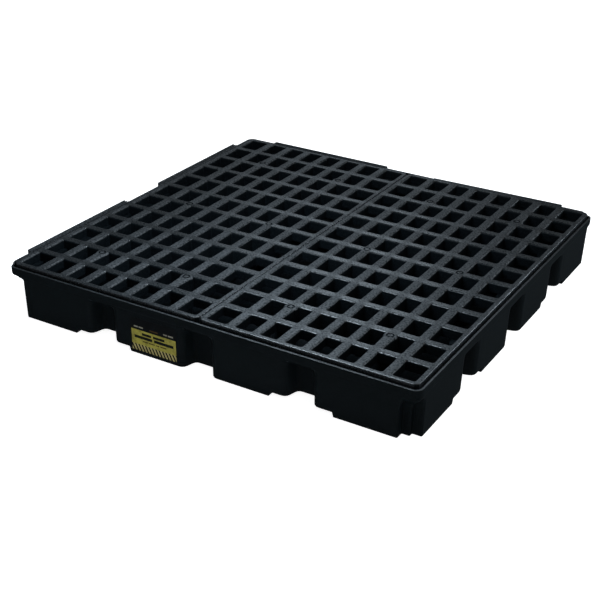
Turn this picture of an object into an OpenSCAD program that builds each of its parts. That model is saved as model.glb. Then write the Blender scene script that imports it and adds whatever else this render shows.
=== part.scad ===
// Low spill containment pallet: a moulded sump tray with its grate posts, two lift-out
// deck grates side by side, and a hazard label on the front wall.
// Millimetres, +Z up. The origin is on the floor, at the centre of the whole outline.

/* [Overall] */
// Width over the joining tabs, left to right
overall_w = 1334; // [1334:1:1350]
// Depth over the joining tabs, front to back
overall_l = 1308; // [1308:1:1330]
// Height of the deck above the floor
deck_h = 165; // [160:1:180]

/* [Grates] */
// Width of one grate
grate_w = 647; // [640:1:648]
// Length of one grate
grate_l = 1274; // [1270:1:1275]
// Gap between the two grates
grate_gap = 3; // [2:0.5:6]
// Depth of the rim of a grate, which stands on the tray's ledge
grate_rim_h = 28; // [20:1:34]
// Depth of the cell walls under the middle of a grate
grate_web_h = 45; // [36:1:50]
// Thickness of the perforated top of a grate
grate_top_t = 6; // [4:0.5:8]
// Thickness of the cell walls
web_t = 4.5; // [3:0.5:6]
// Width of the solid frame round a grate
frame_w = 15.5; // [12:0.5:18]
// Width of the bars between the cells
bar_w = 27; // [22:1:30]
// Distance between the bars that run front to back
bar_pitch = 75.7; // [74:0.1:77]
// Distance from the middle of a grate to its outermost front-to-back bar
outer_bar_at = 231.6; // [230:0.1:234]
// Distance between the bars that run left to right
row_pitch = 105.7; // [104:0.1:106]
// Corner radius of a grate
grate_corner_r = 16; // [8:1:20]
// Outer radius of the ring marks on the bars
ring_r = 9.5; // [6:0.5:10]
// Distance of the outer ring marks from the middle row
ring_row_at = 445; // [440:1:450]

/* [Tray] */
// Thickness of the moulded wall
wall_t = 6; // [4:0.5:7]
// Height of the upper band that holds the grates
band_h = 34; // [34:1:40]
// Drop of the front and right lip below the deck
lip_drop = 9.5; // [5:0.5:10]
// Thickness of the front and right lip
lip_t = 6; // [5:0.5:7]
// Thickness of the left and rear rim
rim_t = 4; // [3:0.5:5]
// Clearance between the grates and the left and rear rim
rim_clear = 1; // [0.5:0.1:2]
// Corner radius of the band
band_corner_r = 22; // [16:1:24]
// Overhang of the band past the left wall
left_overhang = 28; // [20:1:32]
// Overhang of the band past the rear wall
rear_overhang = 27; // [20:1:30]
// Set-back of the front and right walls under the lip
wall_inset = 5; // [3:0.5:6]
// Height of the channels under the sump floor
channel_h = 14; // [8:1:18]
// Distance from the middle to the near edge of a channel
channel_from = 226; // [200:1:240]
// Distance from the middle to the far edge of a channel
channel_to = 422; // [400:1:440]
// Distance from the middle to the end of the outer feet
foot_end = 606; // [600:1:608]

/* [Flutes] */
// Distance from the middle to the outer flutes
flute_at = 322; // [318:1:326]
// Width of the middle flute at its mouth
middle_flute_w = 94; // [86:1:98]
// Width of an outer flute at its mouth
outer_flute_w = 82; // [76:1:90]
// Distance from the middle of the deck to the floor of a flute, left to right
flute_floor_x = 609; // [605:1:612]
// Distance from the middle of the deck to the floor of a flute, front to back
flute_floor_y = 599; // [596:1:600]

/* [Posts] */
// Distance of the outer posts from the middle row
post_row_at = 475; // [468:1:490]
// Radius of a grate post at the sump floor
post_base_r = 40; // [34:1:40]
// Radius of a grate post at its top
post_top_r = 25; // [20:1:28]

/* [Joining tabs] */
// Reach of the tabs past the rim on the left
left_tab_reach = 19; // [16:1:22]
// Reach of the tabs past the rim at the rear
rear_tab_reach = 16; // [14:1:18]
// Distance from the middle to the near end of a tab
tab_from = 90; // [70:1:110]
// Distance from the middle to the far end of a tab
tab_to = 552; // [500:1:560]
// Thickness of the tab's plate and of its hook
tab_t = 5; // [4:0.5:5.5]
// Height of the hook at the outer edge of a tab
hook_h = 16; // [12:1:18]

/* [Label] */
// Width of the hazard label
label_w = 156; // [120:1:160]
// Height of the hazard label
label_h = 106; // [60:1:106]
// Thickness of the hazard label
label_t = 0.5; // [0.4:0.1:0.8]
// Distance from the middle of the deck to the middle of the label
label_at = 143; // [130:1:150]
// Height of the label's lower edge
label_z = 10; // [8:1:12]

/* [Hidden] */
$fn = 48;
eps = 0.01;

// The deck is the pair of grates. Tabs stand out only on the left and at the rear,
// so its middle is off the middle of the whole outline.
deck_w = 2 * grate_w + grate_gap;
left_x = -overall_w / 2 + left_tab_reach;   // outer face of the left rim
right_x = overall_w / 2;                    // outer face of the right lip
front_y = -overall_l / 2;                   // outer face of the front lip
rear_y = overall_l / 2 - rear_tab_reach;    // outer face of the rear rim
deck_x = left_x + rim_t + rim_clear + deck_w / 2;
deck_y = rear_y - rim_t - rim_clear - grate_l / 2;

band_z = deck_h - band_h;                   // underside of the band
ledge_z = deck_h - grate_rim_h;             // what the grates stand on
lip_z = deck_h - lip_drop;                  // top of the front and right lip
post_z = deck_h - grate_web_h;              // top of the posts
floor_z = channel_h + wall_t;               // sump floor over the channels

wall_x0 = left_x + left_overhang;
wall_x1 = right_x - wall_inset;
wall_y0 = front_y + wall_inset;
wall_y1 = rear_y - rear_overhang;

grate_cols = 8;
grate_rows = 12;
cell_limit_x = grate_w / 2 - frame_w;
cell_limit_y = grate_l / 2 - frame_w;
bars = [for (i = [-3:3]) sign(i) * (abs(i) == 3 ? outer_bar_at : abs(i) * bar_pitch)];
ring_cols = [-2 * bar_pitch, 2 * bar_pitch];
ring_rows = [-ring_row_at, 0, ring_row_at];
boss_r = 20;                                // bars swell to this radius at a ring mark
ring_w = 3.5;
ring_depth = 1.2;

// Low and high edge of one cell, counted from the left or from the front
function cell_x(c) = [c == 0 ? -cell_limit_x : bars[c - 1] + bar_w / 2,
                      c == grate_cols - 1 ? cell_limit_x : bars[c] - bar_w / 2];
function cell_y(r) = [r == 0 ? -cell_limit_y : (r - grate_rows / 2) * row_pitch + bar_w / 2,
                      r == grate_rows - 1 ? cell_limit_y
                          : (r + 1 - grate_rows / 2) * row_pitch - bar_w / 2];

// Rectangle from one corner to the other
module span(x0, y0, x1, y1) { translate([x0, y0]) square([x1 - x0, y1 - y0]); }

// The same with rounded corners
module rounded_span(x0, y0, x1, y1, r) {
    span(x0 + r, y0, x1 - r, y1);
    span(x0, y0 + r, x1, y1 - r);
    for (x = [x0 + r, x1 - r], y = [y0 + r, y1 - r]) translate([x, y]) circle(r);
}

// Plan of one flute, which is cut upwards into a wall along the X axis.
// grow is how far its sides and its floor are moved outwards.
module flute_plan(width, depth, grow) {
    half = width / 2;
    flank = depth * 0.25;
    slope_grow = grow * 1.04;
    polygon([[-half - slope_grow - 1, -4], [half + slope_grow + 1, -4],
             [half + slope_grow, 0],
             [half - flank + slope_grow, depth + grow],
             [-half + flank - slope_grow, depth + grow],
             [-half - slope_grow, 0]]);
}

// Plan of the tray's wall. grow moves every face inwards.
module wall_plan(grow) {
    difference() {
        span(wall_x0 + grow, wall_y0 + grow, wall_x1 - grow, wall_y1 - grow);
        for (t = [-flute_at, 0, flute_at]) {
            width = t == 0 ? middle_flute_w : outer_flute_w;
            translate([deck_x + t, wall_y0])
                flute_plan(width, deck_y - flute_floor_y - wall_y0, grow);
            translate([deck_x + t, wall_y1]) rotate(180)
                flute_plan(width, wall_y1 - deck_y - flute_floor_y, grow);
            translate([wall_x0, deck_y + t]) rotate(-90)
                flute_plan(width, deck_x - flute_floor_x - wall_x0, grow);
            translate([wall_x1, deck_y + t]) rotate(90)
                flute_plan(width, wall_x1 - deck_x - flute_floor_x, grow);
        }
        for (sx = [-1, 1], sy = [-1, 1]) corner_plan(sx, sy, grow);
    }
}

// Stepped recess at one corner of the wall, from the wall to the end of the feet
module corner_plan(sx, sy, grow) {
    corner_x = sx < 0 ? wall_x0 : wall_x1;
    corner_y = sy < 0 ? wall_y0 : wall_y1;
    dx = abs(corner_x - deck_x) - foot_end;
    dy = abs(corner_y - deck_y) - foot_end;
    translate([corner_x, corner_y]) mirror([sx > 0 ? 1 : 0, 0]) mirror([0, sy > 0 ? 1 : 0]) {
        span(-1, -1, dx + grow, dy * 0.65 + grow);
        span(-1, -1, dx * 0.75 + grow, dy + grow);
    }
}

// Plan of the nine feet, with grow moving every face inwards
module foot_plan(grow) {
    difference() {
        wall_plan(grow);
        for (s = [-1, 1]) {
            near = s * (channel_from - grow);
            far = s * (channel_to + grow);
            span(deck_x + min(near, far), wall_y0 - 1, deck_x + max(near, far), wall_y1 + 1);
            span(wall_x0 - 1, deck_y + min(near, far), wall_x1 + 1, deck_y + max(near, far));
        }
    }
}

// Places of the grate posts, under the bars with the ring marks
module at_posts() {
    for (g = [-1, 1], c = ring_cols, y = [-post_row_at, 0, post_row_at])
        translate([deck_x + g * (grate_w + grate_gap) / 2 + c, deck_y + y, wall_t]) children();
}

// One joining tab along the Y axis, standing out towards -X from x = 0
module tab(reach) {
    translate([-reach, tab_from, deck_h - tab_t]) cube([reach + 1, tab_to - tab_from, tab_t]);
    translate([-reach, tab_from, deck_h - hook_h]) cube([tab_t, tab_to - tab_from, hook_h]);
}

// Band: a ledge plate with a rim or lip standing round it
module band() {
    difference() {
        translate([0, 0, band_z]) linear_extrude(band_h)
            rounded_span(left_x, front_y, right_x, rear_y, band_corner_r);
        translate([0, 0, ledge_z]) linear_extrude(grate_rim_h + 1)
            rounded_span(left_x + rim_t, front_y + lip_t, right_x - lip_t, rear_y - rim_t,
                         band_corner_r - rim_t);
        // The front and right lip is lower than the deck, so that a tab hooks over it
        translate([left_x + rim_t, front_y - 1, lip_z])
            cube([right_x - left_x, lip_t + 2, lip_drop + 1]);
        translate([right_x - lip_t - 1, front_y - 1, lip_z])
            cube([lip_t + 2, rear_y - front_y - rim_t + 1, lip_drop + 1]);
        translate([0, 0, band_z - 1]) linear_extrude(ledge_z - band_z + 2) wall_plan(wall_t);
    }
}

module tray() {
    color([0.05, 0.06, 0.07]) {
        difference() {
            union() {
                translate([0, 0, channel_h]) linear_extrude(band_z - channel_h) wall_plan(0);
                linear_extrude(channel_h) foot_plan(0);
            }
            translate([0, 0, floor_z]) linear_extrude(deck_h) wall_plan(wall_t);
            translate([0, 0, wall_t]) linear_extrude(deck_h) foot_plan(wall_t);
            at_posts() translate([0, 0, -wall_t - 1])
                cylinder(h = wall_t + 2, r = post_base_r - wall_t);
        }
        band();
        translate([left_x, deck_y, 0]) for (m = [0, 1]) mirror([0, m]) tab(left_tab_reach);
        translate([deck_x, rear_y, 0]) rotate(-90) for (m = [0, 1]) mirror([0, m]) tab(rear_tab_reach);
    }
}

// The twelve posts, hollow from below, which rise from the floor of the tray
module grate_posts() {
    post_h = post_z - wall_t;
    color([0.05, 0.06, 0.07]) at_posts() difference() {
        cylinder(h = post_h, r1 = post_base_r, r2 = post_top_r);
        translate([0, 0, -eps])
            cylinder(h = post_h - wall_t, r1 = post_base_r - wall_t, r2 = post_top_r - wall_t);
    }
}

// Every cell of a grate from column c0 to c1 and row r0 to r1, with its sides moved out by grow
module cells(c0, c1, r0, r1, grow) {
    for (c = [c0:c1], r = [r0:r1])
        span(cell_x(c)[0] - grow, cell_y(r)[0] - grow, cell_x(c)[1] + grow, cell_y(r)[1] + grow);
}

module at_rings() { for (x = ring_cols, y = ring_rows) translate([x, y]) children(); }

// One grate about its own middle, with its top at z = 0
module grate() {
    translate([0, 0, -grate_top_t]) linear_extrude(grate_top_t - ring_depth) top_plan();
    translate([0, 0, -ring_depth - eps]) linear_extrude(ring_depth + eps) difference() {
        top_plan();
        at_rings() difference() {
            circle(ring_r);
            circle(ring_r - ring_w);
        }
    }
    translate([0, 0, -grate_rim_h]) linear_extrude(grate_rim_h - grate_top_t + eps) difference() {
        rim_plan();
        cells(0, grate_cols - 1, 0, grate_rows - 1, 0);
    }
    translate([0, 0, -grate_web_h]) linear_extrude(grate_web_h - grate_top_t + eps) difference() {
        cells(1, grate_cols - 2, 1, grate_rows - 2, web_t);
        cells(1, grate_cols - 2, 1, grate_rows - 2, 0);
    }
}

// Perforated top of a grate. Bars swell round each ring mark.
module top_plan() {
    difference() {
        rounded_span(-grate_w / 2, -grate_l / 2, grate_w / 2, grate_l / 2, grate_corner_r);
        difference() {
            cells(0, grate_cols - 1, 0, grate_rows - 1, 0);
            at_rings() circle(boss_r);
        }
    }
}

// Outer wall of a grate and the walls of its edge cells
module rim_plan() {
    difference() {
        rounded_span(-grate_w / 2, -grate_l / 2, grate_w / 2, grate_l / 2, grate_corner_r);
        span(-grate_w / 2 + web_t, -grate_l / 2 + web_t, grate_w / 2 - web_t, grate_l / 2 - web_t);
    }
    cells(0, grate_cols - 1, 0, 0, web_t);
    cells(0, grate_cols - 1, grate_rows - 1, grate_rows - 1, web_t);
    cells(0, 0, 1, grate_rows - 2, web_t);
    cells(grate_cols - 1, grate_cols - 1, 1, grate_rows - 2, web_t);
}

module placed_grate(side) {
    translate([deck_x + side * (grate_w + grate_gap) / 2, deck_y, deck_h]) grate();
}

module left_grate() { color([0.20, 0.21, 0.22]) placed_grate(-1); }

module right_grate() { color([0.20, 0.21, 0.22]) placed_grate(1); }

module hazard_label() {
    color([0.62, 0.55, 0.10])
        translate([deck_x - label_at - label_w / 2, wall_y0 - label_t, label_z])
            cube([label_w, label_t, label_h]);
}

tray();
grate_posts();
left_grate();
right_grate();
hazard_label();
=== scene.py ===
"""Looks of the low spill containment pallet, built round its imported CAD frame.

Shapes are worked out in millimetres in the CAD's own frame (+Z up, the label wall faces -Y)
and scaled to metres when a mesh is made.
"""
import itertools
import math

import bmesh
import bpy
from mathutils import Matrix, Vector
from mathutils.geometry import delaunay_2d_cdt


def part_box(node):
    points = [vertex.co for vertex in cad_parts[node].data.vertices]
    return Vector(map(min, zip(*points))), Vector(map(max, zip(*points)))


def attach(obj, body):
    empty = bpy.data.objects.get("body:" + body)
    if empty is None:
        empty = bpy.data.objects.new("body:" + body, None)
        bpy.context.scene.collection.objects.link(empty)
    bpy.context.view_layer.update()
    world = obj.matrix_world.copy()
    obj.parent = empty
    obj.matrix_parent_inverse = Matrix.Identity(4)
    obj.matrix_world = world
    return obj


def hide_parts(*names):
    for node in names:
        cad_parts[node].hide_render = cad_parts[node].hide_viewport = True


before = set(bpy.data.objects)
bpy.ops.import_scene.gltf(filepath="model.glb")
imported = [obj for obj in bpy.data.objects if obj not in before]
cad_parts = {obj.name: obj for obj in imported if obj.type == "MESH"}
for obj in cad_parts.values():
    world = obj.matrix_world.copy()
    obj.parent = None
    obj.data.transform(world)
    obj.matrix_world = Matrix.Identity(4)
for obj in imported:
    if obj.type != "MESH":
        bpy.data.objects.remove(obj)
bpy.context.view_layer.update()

MM = 0.001


def mm_box(node):
    """Lowest and highest corner of a CAD node, in millimetres."""
    lo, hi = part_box(node)
    return lo / MM, hi / MM


TRAY_LO, TRAY_HI = mm_box("tray")
LEFT_LO, LEFT_HI = mm_box("left_grate")
RIGHT_LO, RIGHT_HI = mm_box("right_grate")
POST_TOP = mm_box("grate_posts")[1].z
LABEL_LO, LABEL_HI = mm_box("hazard_label")

# ---- sizes, mm
DECK_Z = TRAY_HI.z
DECK_X = (LEFT_LO.x + RIGHT_HI.x) / 2
DECK_Y = (LEFT_LO.y + LEFT_HI.y) / 2
GRATE_W = LEFT_HI.x - LEFT_LO.x
GRATE_L = LEFT_HI.y - LEFT_LO.y
GRATE_WEB_H = DECK_Z - LEFT_LO.z
GRATE_RIM_H = 28.0
LEDGE_Z = DECK_Z - GRATE_RIM_H
BAND_Z = LEDGE_Z - 6.0

RIM_T = 4.0
LIP_T = 6.0
LIP_Z = DECK_Z - 9.5
BAND_X0 = LEFT_LO.x - 5.0          # outer face of the left rim
BAND_X1 = TRAY_HI.x                # outer face of the right lip
BAND_Y0 = TRAY_LO.y                # outer face of the front lip
BAND_Y1 = LEFT_HI.y + 5.0          # outer face of the rear rim
BAND_R = 22.0
WALL_X0 = BAND_X0 + 28.0
WALL_X1 = BAND_X1 - 5.0
WALL_Y0 = BAND_Y0 + 5.0
WALL_Y1 = BAND_Y1 - 27.0
WALL_T = 6.0
WALL_R = 11.0                      # corners of the plain wall, above the recesses
WALL_TOP = 127.0                   # where the wall starts to turn out into the band

CHANNEL_H = 14.0
CHANNEL = (226.0, 422.0)           # near and far edge, from the middle
RAMP = 4.0
FLOOR_GROW = 5.0                   # the channels are this much wider on the inside
FOOT_END = 606.0
FLUTE_AT = 322.0
MID_FLUTE_W, FLUTE_W = 94.0, 82.0
FLUTE_FLOOR_X = 609.0
FLUTE_FLOOR_Y = 599.0


# ---- mesh tools
def new_object(name, bm, materials, smooth_angle=35.0, weld=0.02):
    """Turns a bmesh in millimetres into an object in metres."""
    bmesh.ops.remove_doubles(bm, verts=bm.verts, dist=weld)
    bmesh.ops.dissolve_degenerate(bm, edges=bm.edges, dist=0.001)
    bmesh.ops.recalc_face_normals(bm, faces=bm.faces)
    bmesh.ops.scale(bm, vec=(MM, MM, MM), verts=bm.verts)
    mesh = bpy.data.meshes.new(name)
    bm.to_mesh(mesh)
    bm.free()
    for material in materials:
        mesh.materials.append(material)
    mesh.shade_smooth()
    mesh.set_sharp_from_angle(angle=math.radians(smooth_angle))
    obj = bpy.data.objects.new(name, mesh)
    bpy.context.scene.collection.objects.link(obj)
    return obj


def bridge(bm, low, high, closed=True):
    """Quads between two rows of vertices of the same length."""
    n = len(low)
    for i in range(n if closed else n - 1):
        j = (i + 1) % n
        quad = []
        for v in (low[i], low[j], high[j], high[i]):
            if v not in quad:
                quad.append(v)
        if len(quad) > 2:
            bm.faces.new(quad)


def add_loop(bm, points):
    return [bm.verts.new(p) for p in points]


def skin(bm, loops):
    """Joins each loop of vertices to the next one."""
    for a, b in zip(loops, loops[1:]):
        bridge(bm, a, b)


def lerp(a, b, s):
    return a + (b - a) * s


def clamp(v, lo=0.0, hi=1.0):
    return max(lo, min(hi, v))


def circle(cx, cy, r, n):
    return [(cx + r * math.cos(2 * math.pi * k / n), cy + r * math.sin(2 * math.pi * k / n))
            for k in range(n)]


QUARTER = [22.5 * k for k in range(5)]     # a quarter turn in five points, in degrees


def round_over(radius):
    """(inset, z) of the rows down a rounded upper edge."""
    return [(radius * (1 - math.sin(a)), -radius * (1 - math.cos(a)))
            for a in map(math.radians, QUARTER)]


# ---- grates
BAR_W = 27.0
FRAME_W = 15.5
WEB_T = 4.5
TOP_T = 6.0
BARS_X = [-231.6, -151.4, -75.7, 0.0, 75.7, 151.4, 231.6]
BARS_Y = [105.7 * i for i in range(-5, 6)]
MARK_X = (-151.4, 151.4)            # ring marks, and the posts under them
RING_AT = [(x, y) for x in MARK_X for y in (-445.0, 0.0, 445.0)]
RING_R = 11.5
RING_W = 4.8
RING_H = 2.6
RING_N = 40
BOSS_R = 20.0                       # the bars swell round a ring mark
BOSS_STEPS = (-11.5, -8.0, -4.5, -1.0, 1.0, 4.5, 8.0, 11.5)
GRATE_R = 16.0
HOLE_R = 4.0
EDGE_F = 5.0                        # rounding of the bars' upper edges
RIM_F = 2.4                         # rounding of the outer upper edge
DRAFT = 0.9
EDGE_R = 1.3                        # rounding of the lower edges
# the cell side index takes a darker copy of the plastic as painted shade, the outer edge index a
# lighter copy as painted light
SHADED_CELL_SIDE, LIT_OUTER_EDGE = 1, 2        # material indices of a grate, besides its top


def spans(bars, half):
    """(cell edges, tile edges) of each cell along one direction."""
    cells, tiles = [], []
    for i in range(len(bars) + 1):
        lo = -half + FRAME_W if i == 0 else bars[i - 1] + BAR_W / 2
        hi = half - FRAME_W if i == len(bars) else bars[i] - BAR_W / 2
        cells.append((lo, hi))
        tiles.append((-half if i == 0 else bars[i - 1], half if i == len(bars) else bars[i]))
    return cells, tiles


class Grate:
    """A moulded deck grate about its own middle, with its top at z = 0."""

    def __init__(self):
        self.bm = bmesh.new()
        self.half_x, self.half_y = GRATE_W / 2, GRATE_L / 2
        self.cx, self.tx = spans(BARS_X, self.half_x)
        self.cy, self.ty = spans(BARS_Y, self.half_y)
        self.cols, self.rows = len(self.cx), len(self.cy)

    def bosses(self, c, r):
        """The ring marks on the bars beside a cell."""
        x0, x1 = self.cx[c]
        y0, y1 = self.cy[r]
        found = []
        for bx, by in RING_AT:
            near_x = abs(bx - x0) < BOSS_R or abs(bx - x1) < BOSS_R
            if near_x and y0 < by < y1:
                found.append((bx, by))
        return found

    def ring(self, c, r, grow):
        """Edge of a cell moved into the bars by grow, CCW, as (x, y, kind, cell point, sx, sy).
        kind, and the signs sx and sy, say where the point lands on the tile's own edge."""
        x0, x1 = self.cx[c]
        y0, y1 = self.cy[r]
        bosses = self.bosses(c, r)
        pts = []
        corners = [(x1, y1, 0), (x0, y1, 90), (x0, y0, 180), (x1, y0, 270)]
        for qx, qy, start in corners:
            sx = 1 if qx == x1 else -1
            sy = 1 if qy == y1 else -1
            ox, oy = qx - sx * HOLE_R, qy - sy * HOLE_R
            for k, turn in enumerate(QUARTER):
                a = math.radians(start + turn)
                px = ox + (HOLE_R + grow) * math.cos(a)
                py = oy + (HOLE_R + grow) * math.sin(a)
                vertical_first = start in (0, 180)
                if k == 2:
                    kind = "corner"
                elif (k < 2) == vertical_first:
                    kind = "side"
                else:
                    kind = "end"
                base = (ox + HOLE_R * math.cos(a), oy + HOLE_R * math.sin(a))
                pts.append([px, py, kind, base, sx, sy])
            # extra points down a side that swells round a ring mark
            side_after = -1 if start == 90 else (1 if start == 270 else 0)
            for bx, by in bosses:
                face_x = x0 if abs(bx - x0) < BOSS_R else x1
                if side_after == 0 or face_x != (x0 if side_after < 0 else x1):
                    continue
                ys = [by + d for d in BOSS_STEPS]
                ys = [y for y in ys if y0 + HOLE_R + 1.2 < y < y1 - HOLE_R - 1.2]
                if side_after < 0:
                    ys.reverse()
                pts += [[face_x + side_after * grow, y, "side", (face_x, y), side_after, 0]
                        for y in ys]
        radius = BOSS_R - grow
        for p in pts:
            for bx, by in bosses:
                dy = p[1] - by
                if abs(dy) < radius and (p[0] - bx) ** 2 + dy * dy < radius * radius:
                    p[0] = bx + math.copysign(math.sqrt(radius * radius - dy * dy), p[0] - bx)
        return pts

    def tile_edge(self, c, r, ring, inset):
        """Where each ring point lands on the edge of its tile. Points on the outline of the
        grate are inset along the outline's normal."""
        X0, X1 = self.tx[c]
        Y0, Y1 = self.ty[r]
        out = []
        index = {}
        for _, _, kind, (bx, by), sx, sy in ring:
            X = X1 if sx > 0 else X0
            Y = Y1 if sy > 0 else Y0
            on_x = abs(abs(X) - self.half_x) < 1e-6
            on_y = sy != 0 and abs(abs(Y) - self.half_y) < 1e-6
            if on_x and on_y:
                # rounded corner of the grate
                key = (sx, sy)
                k = index.get(key, 0)
                index[key] = k + 1
                start = {(1, 1): 0, (-1, 1): 90, (-1, -1): 180, (1, -1): 270}[key]
                a = math.radians(start + QUARTER[k])
                out.append((X - sx * GRATE_R + (GRATE_R - inset) * math.cos(a),
                            Y - sy * GRATE_R + (GRATE_R - inset) * math.sin(a)))
                continue
            if kind == "corner":
                x, y = X, Y
            elif kind == "side":
                x, y = X, by
            else:
                x, y = bx, Y
            if on_x and abs(x - X) < 1e-6:
                x -= math.copysign(inset, X)
            if on_y and abs(y - Y) < 1e-6:
                y -= math.copysign(inset, Y)
            out.append((x, y))
        return out

    def cell(self, c, r):
        deep = 0 < c < self.cols - 1 and 0 < r < self.rows - 1
        depth = GRATE_WEB_H if deep else GRATE_RIM_H
        bm = self.bm
        # rounded upper edge, walls of the cell with a little draft, and rounded lower edge
        rows = round_over(EDGE_F)
        rows += [(-0.15 * DRAFT, -TOP_T - 4), (-DRAFT, -depth + EDGE_R),
                 (0.35 - DRAFT, -depth + 0.35), (1.2 - DRAFT, -depth),
                 (WEB_T - 1.2, -depth), (WEB_T - 0.35, -depth + 0.35),
                 (WEB_T, -depth + EDGE_R), (WEB_T, -TOP_T - 1.2),
                 (WEB_T + 0.3, -TOP_T - 0.3), (WEB_T + 1.2, -TOP_T)]
        first = self.tile_edge(c, r, self.ring(c, r, EDGE_F), RIM_F)
        loops = [add_loop(bm, [(x, y, 0.0) for x, y in first])]
        loops += [add_loop(bm, [(p[0], p[1], z) for p in self.ring(c, r, grow)])
                  for grow, z in rows]
        last = self.tile_edge(c, r, self.ring(c, r, WEB_T), WEB_T + 0.9)
        loops.append(add_loop(bm, [(x, y, -TOP_T) for x, y in last]))
        skin(bm, loops)

    def outline(self):
        """Every outline point as (x, y, normal), CCW, matching the tiles' outer points."""
        flat_x, flat_y = self.half_x - GRATE_R, self.half_y - GRATE_R
        found = {}
        for c, r in itertools.product(range(self.cols), range(self.rows)):
            for x, y in self.tile_edge(c, r, self.ring(c, r, 0.0), 0.0):
                if abs(x) < flat_x and abs(abs(y) - self.half_y) < 1e-5:
                    normal = (0.0, math.copysign(1, y))
                elif abs(y) < flat_y and abs(abs(x) - self.half_x) < 1e-5:
                    normal = (math.copysign(1, x), 0.0)
                elif abs(x) >= flat_x and abs(y) >= flat_y:
                    ox, oy = math.copysign(flat_x, x), math.copysign(flat_y, y)
                    d = math.hypot(x - ox, y - oy)
                    if abs(d - GRATE_R) > 1e-4:
                        continue
                    normal = ((x - ox) / d, (y - oy) / d)
                else:
                    continue
                found.setdefault((round(x, 3), round(y, 3)), (x, y, normal))
        return sorted(found.values(), key=lambda p: math.atan2(p[1], p[0]))

    def skirt(self):
        """Outer wall of the grate, from the rounded top edge down and up again inside."""
        pts = self.outline()
        rows = round_over(RIM_F)
        rows += [(0.0, -GRATE_RIM_H + EDGE_R), (0.35, -GRATE_RIM_H + 0.35), (1.2, -GRATE_RIM_H),
                 (WEB_T - 1.2, -GRATE_RIM_H), (WEB_T - 0.35, -GRATE_RIM_H + 0.35),
                 (WEB_T, -GRATE_RIM_H + EDGE_R), (WEB_T, -TOP_T - 0.9), (WEB_T + 0.9, -TOP_T)]
        skin(self.bm, [add_loop(self.bm, [(x - n[0] * inset, y - n[1] * inset, z)
                                          for x, y, n in pts]) for inset, z in rows])

    def build(self):
        for c in range(self.cols):
            for r in range(self.rows):
                self.cell(c, r)
        self.skirt()
        return self.bm


def ring_cutter():
    """Rounded grooves of all ring marks of a grate, for a cut from its top."""
    bm = bmesh.new()
    inner, outer = RING_R - RING_W, RING_R
    profile = [(inner, 1.0), (inner, -RING_H + 0.2), (inner + 0.35, -RING_H),
               (outer - 0.35, -RING_H), (outer, -RING_H + 0.2), (outer, 1.0)]
    for bx, by in RING_AT:
        loops = [add_loop(bm, [(x, y, z) for x, y in circle(bx, by, rad, RING_N)])
                 for rad, z in profile]
        skin(bm, loops + loops[:1])
    return bm


def make_grate(node, centre_x, materials):
    """One deck grate. materials: top of the bars; walls of the cells and the ring grooves, a darker
    copy of the plastic that is painted shade; rounded outer edge, a lighter and glossier copy whose
    lighter colour is painted light.
    """
    obj = new_object(node + "_moulding", Grate().build(), materials)
    cutter = new_object(node + "_cutter", ring_cutter(), materials)
    cut = obj.modifiers.new("ring_marks", "BOOLEAN")
    cut.operation = "DIFFERENCE"
    cut.solver = "EXACT"
    cut.object = cutter
    apply_modifiers(obj)
    bpy.data.objects.remove(cutter)
    obj.data.transform(Matrix.Translation((centre_x * MM, DECK_Y * MM, DECK_Z * MM)))
    mark_smooth_bars(obj, centre_x)
    for face in obj.data.polygons:
        at = face.center / MM
        past_x, past_y = abs(at.x - centre_x) - GRATE_W / 2, abs(at.y - DECK_Y) - GRATE_L / 2
        outer = max(past_x, past_y) > -0.9 * RIM_F
        steep = face.normal.z < 0.7 or face.normal.x < -0.35
        below_top = at.z < DECK_Z - 0.15 * EDGE_F
        # painted shade: the steep walls of the cells and the ring grooves take the darker cell
        # plastic; the upper edges that face the right stay as light as the bars, painted light
        # where the light falls on them
        lit_side = face.normal.x > 0.5 and at.z > DECK_Z - EDGE_F
        groove = at.z < DECK_Z - 0.3 and any(
            math.hypot(at.x - centre_x - bx, at.y - DECK_Y - by) < RING_R + 0.2
            for bx, by in RING_AT)
        if groove or (steep and below_top and not outer and not lit_side):
            face.material_index = SHADED_CELL_SIDE
        # painted light: the outer edge and wall take a lighter, glossier copy of the plastic, lit
        # against the shade of the groove beside the lip
        elif outer and face.normal.z < 0.98:
            face.material_index = LIT_OUTER_EDGE
    finish_normals(obj)
    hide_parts(node)
    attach(obj, node)


def mark_smooth_bars(obj, centre_x):
    """Writes how smooth the skin is at each vertex: 1 on the outer edge and on the cross bars
    between crossings, which are smoother than the grained bars that run front to back."""
    mesh = obj.data
    layer = mesh.attributes.new("smooth_bar", "FLOAT", "POINT")
    half_x = GRATE_W / 2 - FRAME_W / 2
    values = []
    for v in mesh.vertices:
        x, y = v.co.x / MM - centre_x, v.co.y / MM - DECK_Y
        off_x = min([abs(x - b) for b in BARS_X] + [half_x - abs(x)])
        off_y = min([abs(y - b) for b in BARS_Y] + [abs(GRATE_L / 2 - FRAME_W / 2 - abs(y))])
        between = clamp((off_x - 10.0) / 9.0)
        on_bar = clamp((17.0 - off_y) / 3.0)
        skirt = max(abs(x) - GRATE_W / 2, abs(y) - GRATE_L / 2) > -0.5 * RIM_F
        values.append(1.0 if skirt else on_bar * (0.6 + 0.4 * between))
    layer.data.foreach_set("value", values)


def apply_modifiers(obj):
    """Bakes the modifiers of obj into its mesh."""
    deps = bpy.context.evaluated_depsgraph_get()
    mesh = bpy.data.meshes.new_from_object(obj.evaluated_get(deps))
    old = obj.data
    obj.modifiers.clear()
    obj.data = mesh
    bpy.data.meshes.remove(old)


def finish_normals(obj, angle=35.0):
    """Smooth shading with sharp edges past angle, weighted by the size of the faces."""
    obj.data.shade_smooth()
    obj.data.set_sharp_from_angle(angle=math.radians(angle))
    weighted = obj.modifiers.new("even_normals", "WEIGHTED_NORMAL")
    weighted.keep_sharp = True
    weighted.weight = 60


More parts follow.
